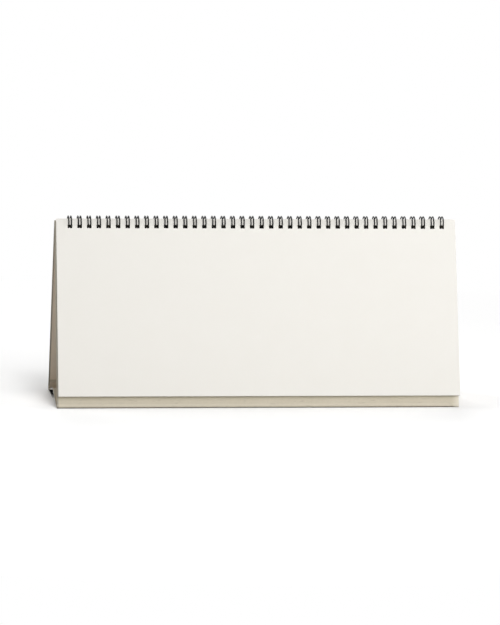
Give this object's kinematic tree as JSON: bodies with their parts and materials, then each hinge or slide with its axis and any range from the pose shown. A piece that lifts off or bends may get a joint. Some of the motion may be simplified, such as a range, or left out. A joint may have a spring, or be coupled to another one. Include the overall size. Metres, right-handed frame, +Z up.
{
  "type": "desk calendar",
  "caption": "Wide tent-shaped desk calendar: a folded board stand, blank leaves over its front and a double-loop wire binding along the top edge.",
  "frame": {"origin": "middle of the footprint, on the surface that the stand rests on", "axes": "+X along the width, to the right of someone who reads the calendar; -Y towards the reader; +Z up"},
  "size_m": [0.3558, 0.1046, 0.163],
  "materials": {
    "stand_board": "matt uncoated grey-beige board",
    "leaves": "matt warm white uncoated paper",
    "coated_wire": "black plastic coated steel wire, satin"
  },
  "bodies": {
    "stand": {"stand": "stand_board", "wire_binding": "coated_wire"},
    "pages": {"page_block": "leaves"}
  },
  "joints": [
    {"name": "pages_turn", "type": "hinge", "parent": "stand", "child": "pages", "pos_m": [0, 0.0006, 0.15665], "axis": [-1, 0, 0], "range_deg": [0, 165]}
  ]
}
